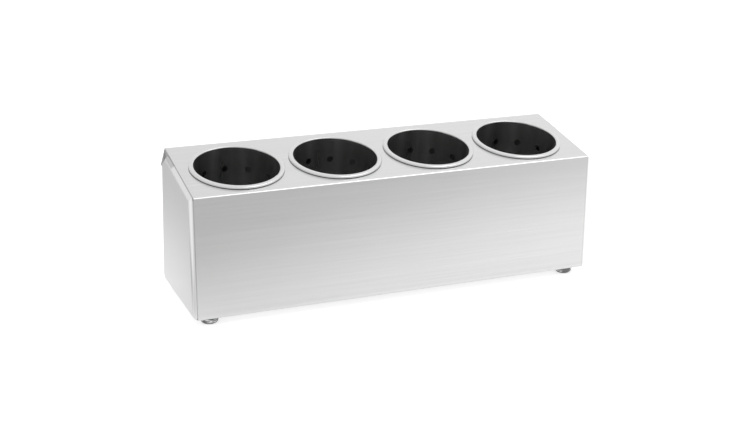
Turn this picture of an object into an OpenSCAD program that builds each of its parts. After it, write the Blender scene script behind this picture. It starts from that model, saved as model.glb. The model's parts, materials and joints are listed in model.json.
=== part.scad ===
// Countertop cutlery dispenser: a folded steel housing with a sloping top, which holds
// four perforated cups in a row. Each cup hangs by its rolled rim and lifts out.
// Millimetres. +X is along the width, the front faces -Y and +Z is up. The origin is on
// the counter, under the middle of the housing.

/* [Housing] */
// Height of the front face, without the feet
front_h = 140; // [136:1:190]
// Slope of the top, up to the rear, in degrees
tilt = 11; // [8:0.5:13]
// Lean of the back, whose foot stands out to the rear, in degrees
back_lean = 6.5; // [5:0.5:11]
// Thickness of the steel sheet
sheet_t = 1; // [0.8:0.1:1.5]
// Gap between sheets that lie on each other
sheet_gap = 0.02; // [0.01:0.01:0.1]
// Outside radius of the folds of the shell and the back panel
fold_r = 1.8; // [1.7:0.1:3]
// Outside radius of the bends round the end panels
side_r = 4.5; // [3:0.5:6]
// Width of the end panels' flanges behind the front, the top and the back
tray_flange = 15; // [8:1:16]
// Length that the end panels' upper rear corner is cut back along the top
corner_top = 18; // [14:1:20]
// Length that it is cut back down the rear edge
corner_rear = 16; // [12:1:18]
// Length that the lower rear corner is cut back, both ways
corner_foot = 6; // [4:1:8]
// Width of the flanges that the feet are screwed to
foot_flange = 28; // [27:1:32]
// Height of the shell's lap over the back panel
rear_lap = 30; // [25:1:40]
// Height on the lap at which its ends reach the side faces
ear_drop = 20; // [10:1:20]

/* [Cups] */
// Inside diameter of a cup
cup_bore = 96; // [84:0.5:120]
// Depth of a cup below the top
cup_depth = 137; // [110:1:138]
// Distance between the rims of neighbouring cups
rim_gap = 9.6; // [6:0.2:30]
// Distance from the side faces to the rims
end_gap = 16.6; // [16:0.2:50]
// Distance from the front edge of the top to the rims
front_gap = 7.5; // [6:0.5:20]
// Distance from the rims to the rear edge of the top
rear_gap = 13.5; // [12:0.5:30]
// Thickness of the cup's sheet
cup_t = 0.8; // [0.6:0.1:1]
// Width of the rolled rim, from the inside of the cup
rim_w = 5.5; // [5:0.1:7]
// Height of the rim above the top
rim_h = 3; // [2.5:0.1:4]
// Outside radius of the folds of the rim and the cup floor
rim_fold = 1.5; // [1.1:0.1:2]
// Gap round the cup's wall in its hole
hole_gap = 0.8; // [0.5:0.1:1.5]
// Gap under the rim
seat_gap = 0.2; // [0.1:0.1:0.3]

/* [Perforations] */
// Diameter of a hole in the cup's wall
perf_d = 7.5; // [5:0.5:10]
// Holes in one row round the cup
perf_count = 11; // [6:1:12]
// Rows of holes
perf_rows = 3; // [1:1:3]
// Depth of the first row below the top
perf_first = 25; // [15:1:30]
// Distance between rows
perf_pitch = 32; // [20:1:32]
// Diameter of a drain hole in the cup's floor
drain_d = 8; // [4:0.5:10]
// Distance between the rings of drain holes
drain_pitch = 16; // [12:0.5:18]
// Height of the floor above the lower edge of the cup
floor_lift = 8; // [4:0.5:14]

/* [Feet] */
// Diameter of a foot at the top
foot_d = 22; // [21.5:0.5:24]
// Diameter of a foot at the bottom
foot_base_d = 20.5; // [19.5:0.5:21]
// Height of a foot
foot_h = 9; // [8:0.5:14]
// Radius of the lower edge of a foot
foot_edge = 4.5; // [2:0.5:4.5]
// Distance from the side to the middle of a foot
foot_inset_x = 21.5; // [16:0.5:22]
// Distance from the front or the back to the middle of a foot
foot_inset_y = 15.5; // [14.5:0.5:17]
// Diameter of the recess for the screw head
recess_d = 9.5; // [9.2:0.1:9.8]
// Thickness of a foot above its recess
foot_web = 4; // [2:0.5:4.5]

/* [Fasteners] */
// Diameter of the screw
screw_d = 4; // [3:0.5:5]
// Length of the screw under its head
screw_len = 12; // [11:0.5:16]
// Diameter of the screw head
head_d = 8; // [7:0.5:8.5]
// Height of the screw head
head_h = 2.4; // [2:0.1:3]
// Diameter of the washers
washer_d = 9; // [8:0.5:9]
// Thickness of the washers
washer_t = 0.8; // [0.5:0.1:1]
// Width of the nut across its flats
nut_w = 7; // [6.5:0.5:9]
// Height of the nut
nut_h = 3.2; // [2.5:0.1:4]
// Gap round the screw in the holes it passes through
screw_gap = 0.3; // [0.2:0.1:0.5]

/* [Hidden] */
$fn = 96;

// How far each cup is turned in its hole
cup_turn = [0, 18, 0, 0];
cup_r = cup_bore / 2;
rim_r = cup_r + rim_w;
cup_pitch = 2 * rim_r + rim_gap;
// Distance from the front edge of the top to the row of the cups' centres
cup_row = front_gap + rim_r;

// Overall width, over the end panels
body_w = 3 * cup_pitch + 2 * (rim_r + end_gap);
// Length of the sloping top, from the front edge to the rear edge
top_len = cup_row + rim_r + rear_gap;

// Length added to a cut so that it passes the face it starts from
past = 1;
// Angle by which a bend laps over the flats beside it, in degrees
bend_lap = 0.02;
// Length of the corner reliefs of the end panels past the end of the shell
relief_lap = 0.4;

// Side view of the housing as [y, z], with y from the front face and z from its lower edge
top_front = [0, front_h];
top_back = top_front + top_len * [cos(tilt), sin(tilt)];
rear_foot = [top_back[0] + top_back[1] * tan(back_lean), 0];
side_view = [[0, 0], rear_foot, top_back, top_front];

// Distance between the same faces of two sheets that lie on each other
layer = sheet_t + sheet_gap;
// Outlines within the side view. Their edges are the bottom, the back, the top and the
// front. The back panel lies inside the shell's lap, and stops short of the fold above it.
back_view = inset(side_view, [0, layer, layer, 0]);
back_foot = back_view[1][0];
back_len = norm(back_view[2] - back_view[1]) - fold_r;
// Depth of the housing, over the fold at the foot of the back panel
body_depth = back_foot - fold_r * (tan(back_lean) + 1 / cos(back_lean) - 1);
// Outer faces of an end panel, which the shell and the back panel lie on, and the same
// outline with its rear corners cut back
tray_full = inset(side_view, [layer, 2 * layer, layer, layer]);
tray_view = [
    tray_full[0],
    stepped(tray_full[1], tray_full[0], corner_foot), stepped(tray_full[1], tray_full[2], corner_foot),
    stepped(tray_full[2], tray_full[1], corner_rear), stepped(tray_full[2], tray_full[3], corner_top),
    tray_full[3]
];
// Height of the upper face of the flanges that lie on each other, over the feet
flange_top = layer + sheet_t;

// Depth of the recess under a foot, for the head of its screw
recess_h = foot_h - foot_web;
// Middles of the feet
foot_x = body_w / 2 - foot_inset_x;
foot_front_y = -body_depth / 2 + foot_inset_y;
foot_rear_y = body_depth / 2 - foot_inset_y;
foot_places = [for (x = [-foot_x, foot_x], y = [foot_front_y, foot_rear_y]) [x, y]];

// The point at distance d from a towards b
function stepped(a, b, d) = a + d * (b - a) / norm(b - a);

function left_of(v) = [-v[1], v[0]] / norm(v);
function edge_normal(p, i) = left_of(p[(i + 1) % len(p)] - p[i % len(p)]);
// The outline p with edge i moved inward by d[i]
function inset(p, d) = [
    for (i = [0 : len(p) - 1])
        let (
            before = (i + len(p) - 1) % len(p),
            m = edge_normal(p, before),
            n = edge_normal(p, i),
            c = m * n
        )
        p[i] + (m * (d[before] - c * d[i]) + n * (d[i] - c * d[before])) / (1 - c * c)
];

// ---- Placing ----

// Side view to space: [y, z] is drawn from x0 on, along +X
module along_x(x0, length) {
    translate([x0, -body_depth / 2, foot_h])
        rotate([90, 0, 90])
            linear_extrude(length)
                children();
}

// A section, as [distance inward, x], swept along the straight edge from a to b of the side
// view and well past both its ends
module along_edge(a, b, x0) {
    d = b - a;
    translate([x0, a[0] - body_depth / 2, a[1] + foot_h])
        rotate([atan2(d[1], d[0]), 0, 0])
            rotate([-90, -90, 0])
                translate([0, 0, -body_depth])
                    linear_extrude(norm(d) + 2 * body_depth)
                        children();
}

// The sloping top: x as in space, y up the slope from the front edge, z square to the top
module on_top() {
    translate([0, -body_depth / 2, foot_h + front_h])
        rotate([tilt, 0, 0])
            children();
}

// The back: x as in space, y square to it, outward, and z up it from the rear edge of the top
module on_back() {
    translate([0, top_back[0] - body_depth / 2, foot_h + top_back[1]])
        rotate([back_lean, 0, 0])
            children();
}

module at_cup(i) {
    on_top()
        translate([(i - 1.5) * cup_pitch, cup_row, 0])
            children();
}

module at_feet() {
    for (p = foot_places)
        translate([p[0], p[1], 0])
            children();
}

// ---- Folded sheet ----

// One bend to the left, from a strip that runs along +x with its outer face on y = 0. It
// laps a hair over the flats on both sides, so that they join.
module bend(t, r, turn) {
    far = 2 * r;
    middle = turn / 2;
    translate([0, r])
        intersection() {
            // The circles start on the side away from the bend
            rotate(180)
                difference() {
                    circle(r);
                    circle(r - t);
                }
            polygon([
                [0, 0],
                far * [-sin(bend_lap), -cos(bend_lap)],
                far / cos(middle) * [sin(middle), -cos(middle)],
                far * [sin(turn + bend_lap), -cos(turn + bend_lap)]
            ]);
        }
}

// Section of a folded strip. Each step is [outer length, turn to the left after it].
module folded_strip(steps, t, r, i = 0) {
    before = i == 0 ? 0 : steps[i - 1][1];
    turn = steps[i][1];
    flat = steps[i][0] - r * tan(before / 2) - r * tan(turn / 2);
    if (flat > 0)
        square([flat, t]);
    if (i < len(steps) - 1)
        translate([flat, 0]) {
            bend(t, r, turn);
            translate([0, r])
                rotate(turn)
                    translate([0, -r])
                        folded_strip(steps, t, r, i + 1);
        }
}

// ---- Housing ----

// Round holes for the foot screws, through the flanges
module screw_holes() {
    at_feet()
        translate([0, 0, foot_h - past])
            cylinder(d = screw_d + 2 * screw_gap, h = flange_top + 2 * past);
}

// Ear at one end of the rear lap, out to the side face
module lap_ear() {
    on_back()
        translate([body_w / 2 - side_r, -sheet_t, 0])
            rotate([-90, 0, 0])
                linear_extrude(sheet_t)
                    polygon([
                        [-past, fold_r], [0, fold_r], [side_r, ear_drop], [0, rear_lap], [-past, rear_lap]
                    ]);
}

module front_and_top_shell() {
    inner_w = body_w - 2 * side_r;
    lap_end = top_back - rear_lap * [-sin(back_lean), cos(back_lean)];
    rear_turn = 90 + tilt - back_lean;
    color("silver")
        difference() {
            union() {
                along_x(-inner_w / 2, inner_w)
                    translate(lap_end)
                        rotate(90 + back_lean)
                            folded_strip(
                                [
                                    [rear_lap, rear_turn], [top_len, 90 - tilt],
                                    [front_h, 90], [foot_flange, 0]
                                ],
                                sheet_t, fold_r
                            );
                lap_ear();
                mirror([1, 0, 0])
                    lap_ear();
            }
            for (i = [0 : 3])
                at_cup(i)
                    translate([0, 0, -sheet_t - past])
                        cylinder(r = cup_r + cup_t + hole_gap, h = sheet_t + 2 * past);
            screw_holes();
        }
}

module back_panel() {
    inner_w = body_w - 2 * side_r;
    color("silver")
        difference() {
            along_x(-inner_w / 2, inner_w)
                translate([back_foot - foot_flange, 0])
                    folded_strip([[foot_flange, 90 + back_lean], [back_len, 0]], sheet_t, fold_r);
            screw_holes();
        }
}

// Block in the outline of an end panel, its edges round on the outside and mitred at the
// corners. It lies inward by t, and its edges keep the middle of the panel's bends.
module tray_block(t, depth) {
    edges = len(tray_view);
    intersection_for (i = [0 : edges - 1])
        along_edge(tray_view[i], tray_view[(i + 1) % edges], -body_w / 2) {
            difference() {
                translate([t, t])
                    square([2 * body_depth, depth - t]);
                square(side_r);
            }
            translate([side_r, side_r])
                circle(side_r - t);
        }
}

// An end panel is a tray: a flat face and four flanges, bent inward
module end_tray() {
    outside = -body_w / 2;
    difference() {
        tray_block(0, foot_flange);
        tray_block(sheet_t, foot_flange + past);
        // The flanges at the front, the top and the back are narrower than the one below
        along_x(outside + tray_flange, foot_flange)
            translate([-past, flange_top])
                square(2 * body_depth);
        // Relief at the corners, which keeps them out of the folds over them. It reaches a
        // little past the end of the shell.
        for (corner = tray_view)
            along_x(outside + side_r - relief_lap, foot_flange)
                translate(corner)
                    circle(fold_r);
        screw_holes();
    }
}

module left_end_panel() {
    color("gainsboro")
        end_tray();
}

module right_end_panel() {
    color("gainsboro")
        mirror([1, 0, 0])
            end_tray();
}

// ---- Cups ----

// Wall and rolled rim in one piece
module cup(i) {
    at_cup(i)
        color("lightgray")
            difference() {
                rotate_extrude()
                    translate([rim_r, seat_gap])
                        rotate(90)
                            folded_strip(
                                [[rim_h - seat_gap, 90], [rim_w, 90], [rim_h + cup_depth, 0]],
                                cup_t, rim_fold
                            );
                for (row = [0 : perf_rows - 1], column = [0 : perf_count - 1])
                    rotate(90 + cup_turn[i] + column * 360 / perf_count)
                        translate([cup_r - past, 0, -perf_first - row * perf_pitch])
                            rotate([0, 90, 0])
                                cylinder(d = perf_d, h = cup_t + 2 * past);
            }
}

// Pressed disc with its edge turned down inside the cup's wall. Its section ends within the
// drain hole in the middle.
module cup_floor(i) {
    at_cup(i)
        color("gray")
            difference() {
                rotate_extrude()
                    translate([cup_r, -cup_depth])
                        rotate(90)
                            folded_strip([[floor_lift, 90], [cup_r - drain_d / 4, 0]], cup_t, rim_fold);
                translate([0, 0, floor_lift - cup_depth - cup_t - past]) {
                    cylinder(d = drain_d, h = cup_t + 2 * past);
                    for (ring = [1, 2], k = [0 : 6 * ring - 1])
                        rotate(cup_turn[i] + k * 60 / ring)
                            translate([ring * drain_pitch, 0, 0])
                                cylinder(d = drain_d, h = cup_t + 2 * past);
                }
            }
}

// ---- Feet and fasteners ----

// Foot: a turned metal button, tapered, with a round lower edge and a recess for the screw head
module foot(x, y) {
    collar = 1.5;
    edge = [foot_base_d / 2 - foot_edge, foot_edge];
    reach = [foot_d / 2, foot_h - collar] - edge;
    lean = atan2(reach[1], reach[0]) - acos(foot_edge / norm(reach));
    flank = edge + foot_edge * [cos(lean), sin(lean)];
    translate([x, y, 0])
        color("gainsboro")
            difference() {
                rotate_extrude() {
                    polygon([
                        [0, 0], [edge[0], 0], edge, flank,
                        [foot_d / 2, foot_h - collar], [foot_d / 2, foot_h], [0, foot_h]
                    ]);
                    intersection() {
                        translate(edge)
                            circle(foot_edge);
                        translate([edge[0], 0])
                            square(2 * foot_edge);
                    }
                }
                translate([0, 0, -past])
                    cylinder(d = recess_d, h = recess_h + past);
                cylinder(d = screw_d + 2 * screw_gap, h = foot_h + past);
            }
}

module washer(z) {
    translate([0, 0, z])
        difference() {
            cylinder(d = washer_d, h = washer_t);
            translate([0, 0, -past])
                cylinder(d = screw_d + 2 * screw_gap, h = washer_t + 2 * past);
        }
}

module foot_washers() {
    color("silver")
        at_feet()
            washer(recess_h - washer_t);
}

// Pan-head screws with a cross recess, head down
module foot_screws() {
    seat = recess_h - washer_t;
    dome = 0.8;
    slot_w = 1.2;
    color("silver")
        at_feet()
            difference() {
                union() {
                    translate([0, 0, seat])
                        cylinder(d = screw_d, h = screw_len);
                    translate([0, 0, seat - head_h + dome])
                        cylinder(d = head_d, h = head_h - dome);
                    translate([0, 0, seat - head_h])
                        cylinder(d1 = head_d - 2 * dome, d2 = head_d, h = dome);
                }
                for (a = [0, 90])
                    translate([0, 0, seat - head_h])
                        rotate(a)
                            cube([screw_d, slot_w, head_h], center = true);
            }
}

module nut_washers() {
    color("silver")
        at_feet()
            washer(foot_h + flange_top);
}

module foot_nuts() {
    color("silver")
        at_feet()
            translate([0, 0, foot_h + flange_top + washer_t])
                difference() {
                    cylinder(d = nut_w / cos(30), h = nut_h, $fn = 6);
                    translate([0, 0, -past])
                        cylinder(d = screw_d, h = nut_h + 2 * past);
                }
}

front_and_top_shell();
back_panel();
left_end_panel();
right_end_panel();
cup(0);  // cup_1
cup(1);  // cup_2
cup(2);  // cup_3
cup(3);  // cup_4
cup_floor(0);  // cup_floor_1
cup_floor(1);  // cup_floor_2
cup_floor(2);  // cup_floor_3
cup_floor(3);  // cup_floor_4
foot(-foot_x, foot_front_y);  // front_left_foot
foot(foot_x, foot_front_y);  // front_right_foot
foot(-foot_x, foot_rear_y);  // rear_left_foot
foot(foot_x, foot_rear_y);  // rear_right_foot
foot_washers();
foot_screws();
nut_washers();
foot_nuts();
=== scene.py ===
# %% [markdown]
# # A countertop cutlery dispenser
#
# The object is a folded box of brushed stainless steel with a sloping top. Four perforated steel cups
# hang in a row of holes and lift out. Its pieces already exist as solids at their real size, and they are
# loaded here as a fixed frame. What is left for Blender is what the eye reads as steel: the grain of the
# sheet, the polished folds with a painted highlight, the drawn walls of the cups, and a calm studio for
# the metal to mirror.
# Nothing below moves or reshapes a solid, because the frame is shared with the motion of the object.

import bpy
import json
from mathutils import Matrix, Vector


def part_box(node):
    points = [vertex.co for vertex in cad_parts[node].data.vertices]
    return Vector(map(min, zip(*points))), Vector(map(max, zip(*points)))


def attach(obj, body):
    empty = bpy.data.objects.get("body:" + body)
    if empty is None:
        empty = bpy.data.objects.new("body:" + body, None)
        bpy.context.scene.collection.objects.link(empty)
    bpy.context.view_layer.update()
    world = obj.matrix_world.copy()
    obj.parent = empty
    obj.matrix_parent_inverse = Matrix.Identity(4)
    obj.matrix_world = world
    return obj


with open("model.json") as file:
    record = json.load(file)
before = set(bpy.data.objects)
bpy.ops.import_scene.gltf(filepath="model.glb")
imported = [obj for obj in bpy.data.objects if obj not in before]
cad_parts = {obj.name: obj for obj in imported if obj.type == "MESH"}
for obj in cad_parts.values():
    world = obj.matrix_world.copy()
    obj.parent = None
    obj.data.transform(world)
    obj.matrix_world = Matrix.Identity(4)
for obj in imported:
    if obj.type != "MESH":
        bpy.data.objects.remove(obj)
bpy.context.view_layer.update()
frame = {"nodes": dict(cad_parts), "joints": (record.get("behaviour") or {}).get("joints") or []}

# %% [markdown]
# ## Places worth naming
#
# Several finishes follow the shape: the folds are polished along a line and brightened there with a
# painted highlight, and a cup's grain runs round its axis. Those lines could be typed in, but then they
# would drift if the solids changed. They are measured on the loaded pieces instead. The cups stand square
# to the sloping top, and the joint that lifts a cup out holds that direction, so the slope comes from
# there.

# %% Measure the housing, the cups and the feet
import json
import math

import bpy
from mathutils import Matrix, Vector

MM = 0.001
TOUCH = 0.01 * MM
CUPS = range(1, 5)
FEET = [f"{end}_{side}_foot" for end in ("front", "rear") for side in ("left", "right")]

lift = Vector(frame["joints"][0]["axis"]).normalized()
slope = math.atan2(-lift.y, lift.z)
up_slope = Vector((0, math.cos(slope), math.sin(slope)))

shell_low, shell_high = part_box("front_and_top_shell")
shell_points = [vertex.co for vertex in frame["nodes"]["front_and_top_shell"].data.vertices]
flat_front = [point.z for point in shell_points if point.y < shell_low.y + TOUCH]
fold_radius = min(flat_front) - shell_low.z
highest_point = max(shell_points, key=lambda point: point.z)
top_height = max(point.dot(lift) for point in shell_points)
seam_x = max(point.x for point in shell_points if point.y < shell_low.y + TOUCH)

# Middles of the shell's folds in side view, as y and z
FOLDS = {
    "foot of the front": (shell_low.y + fold_radius, shell_low.z + fold_radius),
    "front of the top": (shell_low.y + fold_radius, max(flat_front)),
    "rear of the top": (highest_point.y, highest_point.z - fold_radius),
}

floor_centres = [sum(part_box(f"cup_floor_{i}"), Vector()) / 2 for i in CUPS]
cup_pitch = (floor_centres[3].x - floor_centres[0].x) / 3
cup_foot = Vector((0, floor_centres[0].y, floor_centres[0].z))
floor_low, floor_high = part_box("cup_floor_1")
bore_radius = (floor_high.x - floor_low.x) / 2
foot_centre = sum(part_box("rear_right_foot"), Vector()) / 2
print("slope of the top:", round(math.degrees(slope), 2), "degrees")
print("outside radius of the folds:", round(fold_radius / MM, 2), "mm")
print("cup pitch:", round(cup_pitch / MM, 2), "mm, bore radius:", round(bore_radius / MM, 1), "mm")
print("the shell ends", round(seam_x / MM, 2), "mm from the middle")

# %% [markdown]
# The upper rear corners of the end panels are cut back under the shell. Their place matters twice: the
# cut is closed by a small tab, and the bend beside it is darkened there as painted shade, and mirrors
# less.
# The panel's own outline lies on two straight lines, one along the top and one down the back, and the
# missing corner is where they would meet.

# %% Find the cut corner of the end panels
side_x = -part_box("left_end_panel")[0].x
end_points = [vertex.co for vertex in frame["nodes"]["left_end_panel"].data.vertices]
lap_end = max(shell_points, key=lambda point: point.y)
ear_points = [point for point in shell_points if point.x > side_x - TOUCH]
ear_tip = max(ear_points, key=lambda point: point.y)
down_back = Vector((0, lap_end.y - ear_tip.y, lap_end.z - ear_tip.z)).normalized()
back_normal = Vector((0, -down_back.z, down_back.y))


def reach_along(normal, direction):
    """How far the end panel reaches along a normal, and how far that face goes in a direction."""
    reach = max(point.dot(normal) for point in end_points)
    face = [point for point in end_points if point.dot(normal) > reach - TOUCH]
    return reach, max(point.dot(direction) for point in face) + fold_radius


top_reach, top_end = reach_along(lift, up_slope)
back_reach, back_end = reach_along(back_normal, -down_back)
both_normals = Matrix(((lift.y, lift.z), (back_normal.y, back_normal.z)))
corner = Vector((0, *(both_normals.inverted() @ Vector((top_reach, back_reach)))))
cut_along_top = corner.dot(up_slope) - top_end
cut_down_back = corner.dot(-down_back) - back_end
print("corner cut back", round(cut_along_top / MM, 1), "mm and", round(cut_down_back / MM, 1), "mm")

# %% [markdown]
# ## The camera
#
# A camera is placed first, because every later choice is judged through it. It looks down on the front
# left corner from a little above. The direction, the distance and the focal length were found together,
# by matching the straight edges and the round rims, so that the perspective is right as well as the
# angle. The roll of less than half a degree is the tilt of the horizon in the picture.

# %% Place the camera
IMAGE_WIDTH = 750
SENSOR_WIDTH = 36

camera_azimuth = math.radians(-22.264)
camera_elevation = math.radians(18.078)
camera_roll = math.radians(0.412)
camera_distance = 1531.7 * MM
camera_shift = Vector((-3.45, -8.246)) * MM
focal_pixels = 1290.755
aim_height = 84 * MM

backward = Vector((
    math.sin(camera_azimuth) * math.cos(camera_elevation),
    -math.cos(camera_azimuth) * math.cos(camera_elevation),
    math.sin(camera_elevation),
))
level_right = Vector((math.cos(camera_azimuth), math.sin(camera_azimuth), 0))
level_up = backward.cross(level_right)
right = level_right * math.cos(camera_roll) + level_up * math.sin(camera_roll)
upward = level_up * math.cos(camera_roll) - level_right * math.sin(camera_roll)

camera = bpy.data.objects.new("camera", bpy.data.cameras.new("camera"))
bpy.context.scene.collection.objects.link(camera)
bpy.context.scene.camera = camera
turn = Matrix((right, upward, backward)).transposed().to_4x4()
aim = Vector((0, 0, aim_height)) + right * camera_shift.x + upward * camera_shift.y
camera.matrix_world = Matrix.Translation(aim + backward * camera_distance) @ turn
camera.data.sensor_width = SENSOR_WIDTH
camera.data.lens = focal_pixels * SENSOR_WIDTH / IMAGE_WIDTH
print("focal length:", round(camera.data.lens, 1), "mm")

# %% [markdown]
# ## Writing shaders as sums
#
# A finish is arithmetic: a tone, plus a little grain, less some wear. Blender's node editor draws that
# arithmetic as boxes, which gets hard to follow in a script. The small class below wraps one output of a
# node, and its operators add the Math nodes, so that `1 - mask` reads as it does on paper.

# %% A value that varies from point to point
class Varying:
    """One output socket of a node tree, on which sums can be written."""

    def __init__(self, graph, socket):
        self.graph = graph
        self.socket = socket

    def calculate(self, operation, *values):
        """The result of a Math node on numbers and varying values."""
        return self.graph.node("ShaderNodeMath", {"operation": operation}, dict(enumerate(values)))

    def __add__(self, other):
        return self.calculate("ADD", self, other)

    def __radd__(self, other):
        return self.calculate("ADD", other, self)

    def __sub__(self, other):
        return self.calculate("SUBTRACT", self, other)

    def __rsub__(self, other):
        return self.calculate("SUBTRACT", other, self)

    def __mul__(self, other):
        return self.calculate("MULTIPLY", self, other)

    def __rmul__(self, other):
        return self.calculate("MULTIPLY", other, self)

    def __truediv__(self, other):
        return self.calculate("DIVIDE", self, other)

    def __rtruediv__(self, other):
        return self.calculate("DIVIDE", other, self)

    def __abs__(self):
        return self.calculate("ABSOLUTE", self)

    def __mod__(self, other):
        return self.calculate("FLOORED_MODULO", self, other)

    def __or__(self, other):
        """The larger of two masks, which is where either of them holds."""
        return self.calculate("MAXIMUM", self, other)

    def step(self, start, end):
        """0 before start and 1 after end, with a soft passage; start may be the larger."""
        inputs = {"Value": self, "From Min": start, "From Max": end}
        return self.graph.node("ShaderNodeMapRange", {"interpolation_type": "SMOOTHSTEP"}, inputs)


def length_of(a, b):
    """The hypotenuse of two varying values."""
    squares = a * a + b * b
    return squares.calculate("SQRT", squares)


print("the sums add Math nodes for", [name for name in vars(Varying) if name.startswith("__r")])

# %% [markdown]
# Materials and the world are both node trees, so one class adds nodes to either, and always in the same
# order: the kind of node, its settings, and then its sockets. The order matters, because a setting such
# as a data type changes which sockets exist. A finish is such a tree with a Principled shader in it.

# %% A node tree, and a finish
class Graph:
    """A node tree, with one method that adds any node to it."""

    def __init__(self, tree):
        self.tree = tree

    def node(self, kind, settings=None, inputs=None, output=0):
        """Adds a node, sets it, fills its sockets, and gives one of its outputs."""
        node = self.tree.nodes.new(kind)
        for name, value in (settings or {}).items():
            setattr(node, name, value)
        for name, value in (inputs or {}).items():
            socket = self.usable(node.inputs, name)
            if isinstance(value, Varying):
                self.tree.links.new(value.socket, socket)
            else:
                socket.default_value = value
        return Varying(self, self.usable(node.outputs, output))

    @staticmethod
    def usable(sockets, name):
        """The socket of that name or number that the node's settings have left in use."""
        in_use = [socket for socket in sockets if socket.enabled]
        if isinstance(name, int):
            return in_use[name]
        return next(socket for socket in in_use if socket.name == name)

    def parts(self, vector):
        """The x, y and z of a varying vector."""
        return [self.node("ShaderNodeSeparateXYZ", {}, {0: vector}, axis) for axis in range(3)]

    def grey(self, value, tint=(1.0, 1.0, 1.0)):
        """A varying grey as a colour with a slight tint."""
        inputs = {"Factor": value, "A": (0, 0, 0, 1), "B": (*tint, 1)}
        return self.node("ShaderNodeMix", {"data_type": "RGBA", "clamp_factor": False}, inputs)

    def ray(self, kind):
        """1 for the rays of that kind, and 0 for the others."""
        return self.node("ShaderNodeLightPath", output=f"Is {kind} Ray")


class Finish(Graph):
    """A material with a Principled shader."""

    def __init__(self, name, **constants):
        self.material = bpy.data.materials.new(name)
        self.material.use_nodes = True
        super().__init__(self.material.node_tree)
        self.shader = self.tree.nodes["Principled BSDF"]
        for socket, value in constants.items():
            self.shader.inputs[socket.replace("_", " ")].default_value = value
        self.place = self.node("ShaderNodeTexCoord", output="Object")
        self.x, self.y, self.z = self.parts(self.place)

    def noise(self, stretch, shift=0):
        """Noise from 0 to 1 with cells of 1 / stretch metres along x, y and z."""
        scaled = self.node(
            "ShaderNodeVectorMath", {"operation": "MULTIPLY_ADD"},
            {0: self.place, 1: stretch, 2: (shift, shift, shift)},
        )
        return self.node("ShaderNodeTexNoise", {}, {"Vector": scaled, "Scale": 1, "Detail": 3})

    def rings(self, along, width):
        """Noise from 0 to 1 that changes along one value only, in rings of about that width."""
        return self.node(
            "ShaderNodeTexNoise", {"noise_dimensions": "1D"}, {"W": along, "Scale": 1 / width, "Detail": 2}
        )

    def feed(self, **values):
        """Links varying values to the shader's own sockets."""
        for socket, value in values.items():
            self.tree.links.new(value.socket, self.shader.inputs[socket.replace("_", " ")])

    def bump(self, height, depth, strength):
        """Relief of a varying height from 0 to 1, where 1 stands that depth above 0."""
        inputs = {"Strength": strength, "Distance": depth, "Height": height}
        self.feed(Normal=self.node("ShaderNodeBump", {}, inputs, "Normal"))


print("a finish can make:", [name for name in vars(Finish) if not name.startswith("_")])

# %% [markdown]
# ## Brushed sheet
#
# The sheet of such a housing is ground with a belt before it is cut, so its scratches all run one way.
# They are too fine to see one by one. What shows is a silky, slightly streaky tone, and a reflection that
# smears across the grain. One noise that is stretched hundreds of times along the grain makes the
# scratches, a broader one the streaks, and an even one the faint clouds that hands and cloths leave.
#
# Bending polishes the outside of a fold, so the folds catch a brighter line of light, and their colour is
# brightened there as well, as a painted highlight. Each fold is a straight line in the frame, and the
# distance from its middle makes the mask. Only the outside of the sheet is ground: the inside keeps the
# dull skin of the mill, which is rougher, and its colour is darkened there as painted shade. A face is on
# the inside where its normal points back to the middle of the housing. Where the shell ends beside an end
# panel, a thin dark line is painted in the step, as its shadow together with the polishing paste left
# there. These places are masks, each in a function of its own.

# %% Where the sheet differs
FOLD_SOFT = 2 * MM, 0.3 * MM
BEND_START, BEND_FULL = 0.1 * MM, 0.8 * MM
EAR_SOFT = 0.3 * MM
INNER_SOFT = 5 * MM
SEAM_WIDTH = 0.8 * MM
BEND_SHADE_REACH, BEND_SHADE_SOFT = 46 * MM, 3 * MM


def shell_folds(finish):
    """1 on the outside of the shell's folds, and 0 on its flats."""
    masks = []
    for y, z in FOLDS.values():
        from_surface = length_of(finish.y - y, finish.z - z) - fold_radius
        masks.append(from_surface.step(*FOLD_SOFT))
    return masks[0] | masks[1] | masks[2]


def end_bends(finish):
    """1 on the bent edges of an end panel, and 0 on its flat face."""
    return abs(finish.x).step(side_x - BEND_START, side_x - BEND_FULL)


def beyond_seam(finish):
    """1 past the ends of the shell, where only its two ears reach, and 0 between them."""
    return abs(finish.x).step(seam_x, seam_x + EAR_SOFT)


def inner_side(finish):
    """1 on faces that look to the middle of the housing, and 0 on its outside."""
    normal = finish.node("ShaderNodeTexCoord", output="Normal")
    middle = (shell_low + shell_high) / 2
    offset = finish.node("ShaderNodeVectorMath", {"operation": "SUBTRACT"}, {0: finish.place, 1: middle})
    outward = finish.node("ShaderNodeVectorMath", {"operation": "DOT_PRODUCT"}, {0: offset, 1: normal})
    return outward.step(INNER_SOFT, -INNER_SOFT) * (1 - beyond_seam(finish))


def seam_line(finish):
    """1 in the step between the shell and the end panels, and 0 away from it."""
    return abs(abs(finish.x) - seam_x).step(SEAM_WIDTH, 0.4 * SEAM_WIDTH)


def shaded_corner_bend(finish):
    """1 on the bends of an end panel near its cut corner, where painted shade darkens them, and 0
    elsewhere.
    """
    distance = length_of(finish.y - corner.y, finish.z - corner.z)
    near = distance.step(BEND_SHADE_REACH + BEND_SHADE_SOFT, BEND_SHADE_REACH - BEND_SHADE_SOFT)
    return near * end_bends(finish)


MASKS = (shell_folds, end_bends, beyond_seam, inner_side, seam_line, shaded_corner_bend)
print("masks on the sheet:", [mask.__name__ for mask in MASKS])
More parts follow.
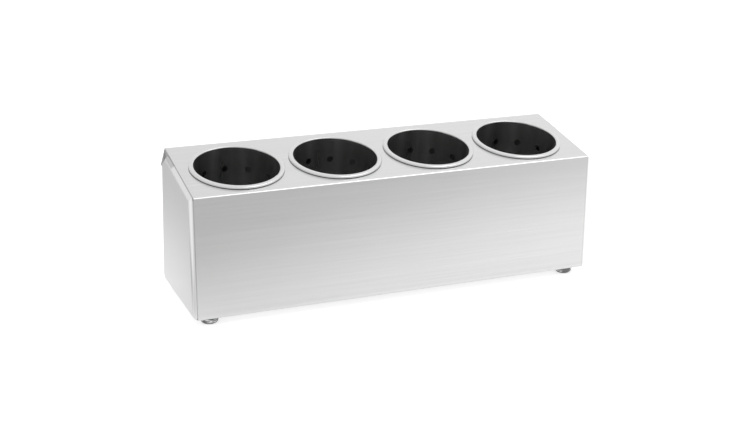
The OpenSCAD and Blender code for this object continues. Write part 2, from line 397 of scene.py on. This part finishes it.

# %% [markdown]
# The shell and the end panels are the same steel, so one function makes both. The grain runs along the
# shell and up the end panels. The masks then change the tone and the roughness together: the darkening is
# painted shade, in the seam together with polishing paste, and those places are rougher as well. Where
# welding spoiled the ears of the shell, they also mirror less, as do the bends near the cut corner, and
# that is what Metallic takes away.

# %% Brushed steel
SCRATCH_LENGTH, SCRATCH_WIDTH = 110 * MM, 0.4 * MM
STREAK_LENGTH, STREAK_WIDTH = 330 * MM, 2.5 * MM
CLOUD_SIZE = 70 * MM
SCRATCH_DEPTH = 0.02 * MM
SCRATCH_SHARE, STREAK_SHARE, CLOUD_SHARE = 0.16, 0.11, 0.03
GRAIN_MIDDLE = (SCRATCH_SHARE + STREAK_SHARE + CLOUD_SHARE) / 2
SHEET_TONE = 0.72
FOLD_HIGHLIGHT_GAIN, BEND_HIGHLIGHT_GAIN = 0.02, 0.1
INNER_SHADE, SEAM_DARK, BEND_SHADE_DARK = 0.5, 0.22, 0.32
SHEET_ROUGHNESS, GRAIN_ROUGH, FOLD_POLISH, SHADE_ROUGH = 0.25, 0.5, 0.07, 0.4
EAR_DULL, CORNER_BEND_DULL = 0.7, 0.5


def along(axis, length, width):
    """Noise scales for a grain of that length along one axis and that width across it."""
    return tuple(1 / length if axis == name else 1 / width for name in "xyz")


def brushed_steel(name, axis, polished_and_highlit, highlight_gain, shift, corner_shade=None):
    """Steel with its grain along an axis, polished and with a painted highlight on its folds, and with
    painted shade on the bends near a cut corner.
    """
    finish = Finish(name)
    scratches = finish.noise(along(axis, SCRATCH_LENGTH, SCRATCH_WIDTH), shift)
    streaks = finish.noise(along(axis, STREAK_LENGTH, STREAK_WIDTH), shift + 5)
    clouds = finish.noise((1 / CLOUD_SIZE,) * 3, shift + 9)
    grain = scratches * SCRATCH_SHARE + streaks * STREAK_SHARE + clouds * CLOUD_SHARE - GRAIN_MIDDLE
    # On the folds the colour is brightened as a painted highlight, and the roughness is lowered as real
    # polish.
    fold = polished_and_highlit(finish)
    # Painted shade: faces inside the housing are darkened here, and the seam line as painted shadow
    # together with polishing paste.
    shade = (1 - inner_side(finish) * INNER_SHADE) * (1 - seam_line(finish) * SEAM_DARK)
    # The bends near the cut corner are darkened here as painted shade.
    if corner_shade:
        shade = shade * (1 - corner_shade(finish) * BEND_SHADE_DARK)
    polish = fold * FOLD_POLISH - (1 - shade) * SHADE_ROUGH
    finish.feed(
        Base_Color=finish.grey((SHEET_TONE * (1 + grain) + fold * highlight_gain) * shade),
        Roughness=SHEET_ROUGHNESS + grain * GRAIN_ROUGH - polish,
    )
    finish.bump(scratches, SCRATCH_DEPTH, strength=0.25)
    return finish


sheet_steel = brushed_steel("brushed_steel_sheet", "x", shell_folds, FOLD_HIGHLIGHT_GAIN, 0)
sheet_steel.feed(Metallic=1 - beyond_seam(sheet_steel) * EAR_DULL)
end_steel = brushed_steel("brushed_steel_ends", "z", end_bends, BEND_HIGHLIGHT_GAIN, 30, shaded_corner_bend)
end_steel.feed(Metallic=1 - shaded_corner_bend(end_steel) * BEND_SHADE_DARK * CORNER_BEND_DULL)
print("made", sheet_steel.material.name, "and", end_steel.material.name)

# %% [markdown]
# ## Cups
#
# A cup is rolled from thin sheet. Its rim is polished bright, and its wall carries fine rings from the
# tool. Broad soft bands that run down the wall are painted reflections in its colour, and vary its
# roughness too. Inside, the wall is darker as painted shade. The turned edge of the rim ends just above
# the top, and a dark line of painted shadow is put there. The material therefore needs to know the radius
# and the height of each point in its own cup. All four cups share one material: the place along the row,
# taken modulo the pitch, is the same in every cup.

# %% Cup steel
RING_WIDTH, RING_DEPTH = 0.6 * MM, 0.02 * MM
BAND_WIDTH = 18 * MM
BAND_STRETCH = 0.1
OUTSIDE_SOFT = 0.2 * MM, 0.6 * MM
RIM_SOFT = 0.5 * MM
EDGE_HEIGHT, GAP_SHADOW_DARK = 0.7 * MM, 0.85
SHADED_INSIDE_TONE, UNSHADED_OUTSIDE_GAIN, RIM_TONE = 0.46, 0.2, 0.74
REFLECTION_BAND_SHARE, RING_SHARE = 0.3, 0.06
CUP_ROUGHNESS, BAND_ROUGH, RIM_POLISH, EDGE_ROUGH = 0.3, 0.15, 0.04, 0.3


def cup_coordinates(finish):
    """Sideways and fore-and-aft offsets from the cup's axis, and the height above its floor."""
    sideways = ((finish.x / cup_pitch) % 1 - 0.5) * cup_pitch
    y = finish.y - cup_foot.y
    z = finish.z - cup_foot.z
    fore_aft = y * up_slope.y + z * up_slope.z
    height = y * lift.y + z * lift.z
    return sideways, fore_aft, height


def cup_steel():
    """Drawn and rolled steel, the same in every cup."""
    finish = Finish("cup_steel", Metallic=1.0)
    sideways, fore_aft, height = cup_coordinates(finish)
    radius = length_of(sideways, fore_aft)
    outside = (radius - bore_radius).step(*OUTSIDE_SOFT)
    top = top_height - cup_foot.dot(lift)
    rim = height.step(top - RIM_SOFT, top) * outside
    # A painted shadow: the colour is darkened under the turned edge of the rim, just above the top.
    edge = rim * height.step(top + EDGE_HEIGHT, top + 0.8 * EDGE_HEIGHT)
    wall_inputs = {0: sideways, 1: fore_aft, 2: height * BAND_STRETCH}
    wall_place = finish.node("ShaderNodeCombineXYZ", {}, wall_inputs)
    # The bands are painted reflections in the wall's colour; in the roughness they are real unevenness.
    bands = finish.node("ShaderNodeTexNoise", {}, {"Vector": wall_place, "Scale": 1 / BAND_WIDTH})
    rings = finish.rings(height + radius, RING_WIDTH)
    # The inside of the wall is darkened as painted shade; the outside is lifted back to the steel's tone.
    wall = SHADED_INSIDE_TONE + outside * UNSHADED_OUTSIDE_GAIN + (bands - 0.5) * REFLECTION_BAND_SHARE + (rings - 0.5) * RING_SHARE
    tone = wall * (1 - rim) + rim * RIM_TONE
    finish.feed(
        Base_Color=finish.grey(tone * (1 - edge * GAP_SHADOW_DARK)),
        Roughness=CUP_ROUGHNESS - rim * RIM_POLISH + (bands - 0.5) * BAND_ROUGH + edge * EDGE_ROUGH,
    )
    finish.bump(rings, RING_DEPTH, strength=0.25)
    return finish


cup_metal = cup_steel()
print("made", cup_metal.material.name)

# %% [markdown]
# ## Feet and fasteners
#
# The feet are turned from bar and polished, which leaves fine rings round them. Their colour is painted
# dark as shade under the flange and on the lower edge, and bright patches between the two are painted
# reflections. The screws, washers and nuts are plated steel. On the screws a relief that repeats with the
# pitch of an M4 thread stands for the thread.

# %% Polished feet and plated steel
TURNING_WIDTH, TURNING_DEPTH = 0.35 * MM, 0.015 * MM
PATCHES_PER_METRE = 170, 170, 420
PATCH_EDGE = 0.46, 0.68
LIGHT_BAND_BELOW = 7.4 * MM, 6.2 * MM
LIGHT_BAND_ABOVE = 1.4 * MM, 2.6 * MM
FOOT_TONE, LIGHT_BAND_GAIN, REFLECTION_PATCH_GAIN, TURNING_SHARE = 0.07, 0.1, 0.6, 0.3
FOOT_ROUGHNESS, PATCH_ROUGH = 0.08, 0.1
PLATED_TONE, PLATED_TINT = 0.58, (1.0, 0.99, 0.96)
MOTTLE_PER_METRE, MOTTLE_SHARE, MOTTLE_DEPTH = 700, 0.12, 0.02 * MM
PLATED_ROUGHNESS, MOTTLE_ROUGH = 0.22, 0.18
THREAD_PITCH = 0.7 * MM
THREAD_DEPTH = 0.8 * THREAD_PITCH


def polished_metal():
    """Turned and polished feet, with painted shade at both edges and painted reflection patches between.
    """
    finish = Finish("polished_metal", Metallic=1.0)
    radius = length_of(abs(finish.x) - foot_centre.x, abs(finish.y) - foot_centre.y)
    rings = finish.rings(radius + finish.z, TURNING_WIDTH)
    patches = finish.noise(PATCHES_PER_METRE, shift=7)
    # Painted shade at the top and bottom of the foot, and painted reflections in the band between.
    painted_light_band = finish.z.step(*LIGHT_BAND_BELOW) * finish.z.step(*LIGHT_BAND_ABOVE)
    bright = FOOT_TONE + painted_light_band * (LIGHT_BAND_GAIN + patches.step(*PATCH_EDGE) * REFLECTION_PATCH_GAIN)
    finish.feed(
        Base_Color=finish.grey(bright * (1 + (rings - 0.5) * TURNING_SHARE)),
        Roughness=FOOT_ROUGHNESS + patches * PATCH_ROUGH,
    )
    finish.bump(rings, TURNING_DEPTH, strength=0.3)
    return finish


def plated_steel(name, threaded):
    """Plated steel with a soft mottle, or with the relief of a thread."""
    finish = Finish(name, Metallic=1.0)
    mottle = finish.noise((MOTTLE_PER_METRE,) * 3)
    finish.feed(
        Base_Color=finish.grey(PLATED_TONE + mottle * MOTTLE_SHARE, PLATED_TINT),
        Roughness=PLATED_ROUGHNESS + mottle * MOTTLE_ROUGH,
    )
    if threaded:
        flank = abs((finish.z / THREAD_PITCH) % 1 - 0.5)
        finish.bump(flank, THREAD_DEPTH, strength=1.0)
    else:
        finish.bump(mottle, MOTTLE_DEPTH, strength=0.3)
    return finish


foot_metal = polished_metal()
plated = plated_steel("fastener_steel", False)
thread_steel = plated_steel("screw_steel", True)
print("made", foot_metal.material.name, plated.material.name, "and", thread_steel.material.name)

# %% [markdown]
# ## Dressing the solids
#
# Each solid takes its finish in its material slots. The solids keep their own meshes.

# %% Put the finishes on the pieces
FINISH_OF = {
    "front_and_top_shell": sheet_steel,
    "back_panel": sheet_steel,
    "left_end_panel": end_steel,
    "right_end_panel": end_steel,
    "foot_washers": plated,
    "foot_screws": thread_steel,
    "nut_washers": plated,
    "foot_nuts": plated,
}
FINISH_OF.update({f"cup_{i}": cup_metal for i in CUPS})
FINISH_OF.update({f"cup_floor_{i}": cup_metal for i in CUPS})
FINISH_OF.update({name: foot_metal for name in FEET})

for name, piece in frame["nodes"].items():
    piece.data.materials.clear()
    piece.data.materials.append(FINISH_OF[name].material)
print("dressed", len(frame["nodes"]), "solids")

# %% [markdown]
# ## Corner tabs
#
# In each cut corner a small triangle of sheet shows, which is welded in below the end of the top. It is
# the one form here that the solids lack. A triangle of three known points needs no modelling tool: it is
# written down as a mesh, once for each end, and given the thickness of the sheet.

# %% Close the cut corners
TAB_SHEET = 1.0 * MM
TAB_GAP = 0.3 * MM

TAB_OUTLINE = [
    corner - up_slope * (cut_along_top - TAB_GAP),
    corner,
    corner + down_back * (cut_down_back - TAB_GAP),
]


def corner_tab(name, outer_x, inner_x):
    """A triangle of sheet between two places along the width, which rides on the housing."""
    points = [(x, point.y, point.z) for x in (outer_x, inner_x) for point in TAB_OUTLINE]
    faces = [(0, 1, 2), (5, 4, 3), (0, 3, 4, 1), (1, 4, 5, 2), (2, 5, 3, 0)]
    if outer_x < inner_x:
        faces = [tuple(reversed(face)) for face in faces]
    mesh = bpy.data.meshes.new(name)
    mesh.from_pydata(points, [], faces)
    mesh.materials.append(end_steel.material)
    tab = bpy.data.objects.new(name, mesh)
    bpy.context.scene.collection.objects.link(tab)
    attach(tab, "housing")
    return tab


left_tab = corner_tab("left_corner_tab", -seam_x, -seam_x + TAB_SHEET)
right_tab = corner_tab("right_corner_tab", seam_x, seam_x - TAB_SHEET)
for tab in (left_tab, right_tab):
    facing = tab.data.polygons[0].normal.x
    print(tab.name, "faces", "out" if facing * tab.data.vertices[0].co.x > 0 else "in")

# %% [markdown]
# ## The studio
#
# Steel has no look of its own: it shows the room, so the room is drawn with some care. It is white all
# round. A wide soft lamp hangs in front and above, where only the folds and the rims can mirror it, and
# it draws the bright line along the front edge.
#
# The upright faces mirror the floor. To the steel the paper glows with a painted pool of light, brightest
# close to the object and towards the right and darker further off, which shades those faces from top to
# bottom. Beside the left end only the distance from that end counts, so the end panel is shaded evenly
# from front to back. The round bend at the front left corner mirrors a painted patch of its own, which is
# bright further off. To the camera the paper is plain white, but it keeps the soft shadow under the
# object.

# %% The lamp
LAMP_AT = Vector((0.47, -0.66, 1.2))
LAMP_SIZE = (1.3, 0.5)
LAMP_RADIANCE = 2.0

lamp = bpy.data.objects.new("soft_lamp", bpy.data.lights.new("soft_lamp", "AREA"))
lamp.data.shape = "RECTANGLE"
lamp.data.size, lamp.data.size_y = LAMP_SIZE
lamp.data.energy = LAMP_RADIANCE * math.pi * LAMP_SIZE[0] * LAMP_SIZE[1]
lamp.location = LAMP_AT
lamp.rotation_euler = (LAMP_AT - Vector((0, 0, shell_high.z))).to_track_quat("Z", "Y").to_euler()
bpy.context.scene.collection.objects.link(lamp)
print("lamp:", round(lamp.data.energy, 1), "W")

# %% The room and the paper
SKY_DIM = 0.88
SKY_SOFT = 0.1, 0.4
PAPER_TONE = 0.52
PAPER_FILL = 0.72
POOL_DARK, POOL_BRIGHT = 0.03, 0.55
POOL_MIDDLE = 60 * MM
POOL_TO_RIGHT = 0.42
POOL_START, POOL_END = 110 * MM, 575 * MM
SIDE_START, SIDE_END = -380 * MM, -560 * MM
SIDE_BRIGHT = 0.4
EDGE_GLOW, EDGE_REACH = 0.04, 50 * MM
LEFT_START, LEFT_END = 10 * MM, -40 * MM
FRONT_START, FRONT_END = -55 * MM, -125 * MM
BESIDE_FROM = -190 * MM
BESIDE_SLOPE = 2.7
CORNER_START, CORNER_END = -290 * MM, -450 * MM
CORNER_DARK, CORNER_BRIGHT = 0.18, 0.47
FLOOR_HALF = 3.0


def white_room():
    """White to the camera all round, and a little dimmer on the left to the steel."""
    world = bpy.data.worlds.new("studio")
    bpy.context.scene.world = world
    world.use_nodes = True
    room = Graph(world.node_tree)
    towards_right = room.parts(room.node("ShaderNodeTexCoord", output="Generated"))[0]
    sky = SKY_DIM + towards_right.step(*SKY_SOFT) * (1 - SKY_DIM)
    colour = room.grey(sky | room.ray("Camera") | room.ray("Transmission"))
    room.tree.links.new(colour.socket, room.tree.nodes["Background"].inputs["Color"])


def painted_paper_glow(paper):
    """The painted glow of each point of the paper as the steel sees it, a pool of light that no lamp
    casts.
    """
    to_left = (paper.x + side_x).step(LEFT_START, LEFT_END)
    in_front = paper.y.step(FRONT_START, FRONT_END)
    beside = to_left * (1 - in_front)
    at_corner = to_left * in_front
    reach = abs(paper.y - POOL_MIDDLE) - paper.x * POOL_TO_RIGHT
    reach = reach * (1 - beside) + (BESIDE_FROM - paper.x) * BESIDE_SLOPE * beside
    pool = POOL_DARK + reach.step(POOL_END, POOL_START) * (POOL_BRIGHT - POOL_DARK)
    pool = pool | paper.x.step(SIDE_START, SIDE_END) * SIDE_BRIGHT
    pool = pool + abs(paper.x + side_x).step(EDGE_REACH, 0) * EDGE_GLOW
    further_left = paper.x.step(CORNER_START, CORNER_END)
    corner_glow = CORNER_DARK + further_left * (CORNER_BRIGHT - CORNER_DARK)
    return pool * (1 - at_corner) + corner_glow * at_corner


def white_paper():
    """Plain paper to the camera, and the painted pools of light to the steel."""
    tone = (PAPER_TONE, PAPER_TONE, PAPER_TONE, 1)
    paper = Finish("white_paper", Base_Color=tone, Roughness=0.9, Emission_Strength=1.0)
    seen = paper.ray("Camera") | paper.ray("Transmission")
    glow = seen * PAPER_FILL + (1 - seen) * paper.ray("Glossy") * painted_paper_glow(paper)
    paper.feed(Emission_Color=paper.grey(glow))
    return paper


white_room()
floor_mesh = bpy.data.meshes.new("paper_floor")
corners = [(x * FLOOR_HALF, y * FLOOR_HALF, 0) for x, y in ((-1, -1), (1, -1), (1, 1), (-1, 1))]
floor_mesh.from_pydata(corners, [], [(0, 1, 2, 3)])
floor_mesh.materials.append(white_paper().material)
paper_floor = bpy.data.objects.new("paper_floor", floor_mesh)
bpy.context.scene.collection.objects.link(paper_floor)
print("floor:", 2 * FLOOR_HALF, "m wide")

# %% [markdown]
# ## Finish
#
# Colours are shown as they are, without a film curve, so a grey of the sheet stays that grey.

# %% Colour handling
bpy.context.scene.view_settings.view_transform = "Standard"
